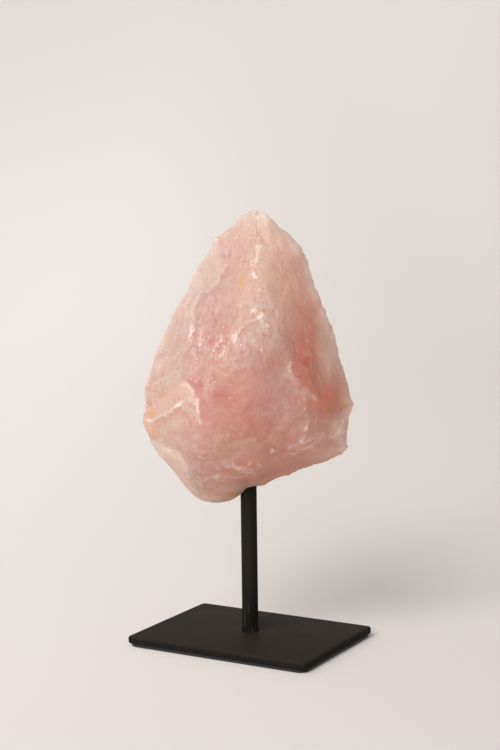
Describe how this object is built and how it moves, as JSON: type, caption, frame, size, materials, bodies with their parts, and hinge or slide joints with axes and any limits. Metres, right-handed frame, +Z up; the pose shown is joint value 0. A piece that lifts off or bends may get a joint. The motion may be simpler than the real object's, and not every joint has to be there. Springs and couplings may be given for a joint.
{
  "type": "rose quartz chunk",
  "caption": "Rough tapering chunk of rose quartz drilled from below and held upright on a slim round black post over a flat rectangular black base.",
  "frame": {"origin": "on the surface the stand rests on, under the middle of the base plate", "axes": "+Z up along the post, +X along the base plate's long side, +Y along its short side towards the back"},
  "size_m": [0.102, 0.0793, 0.218],
  "materials": {
    "rose_quartz": "rough broken faces, waxy to glassy, cloudy and translucent",
    "black_coating": "satin black powder coat",
    "felt": "thin black felt"
  },
  "bodies": {
    "root": {"rose_quartz": "rose_quartz", "post": "black_coating", "base_plate": "black_coating", "felt_pad": "felt"}
  },
  "joints": []
}
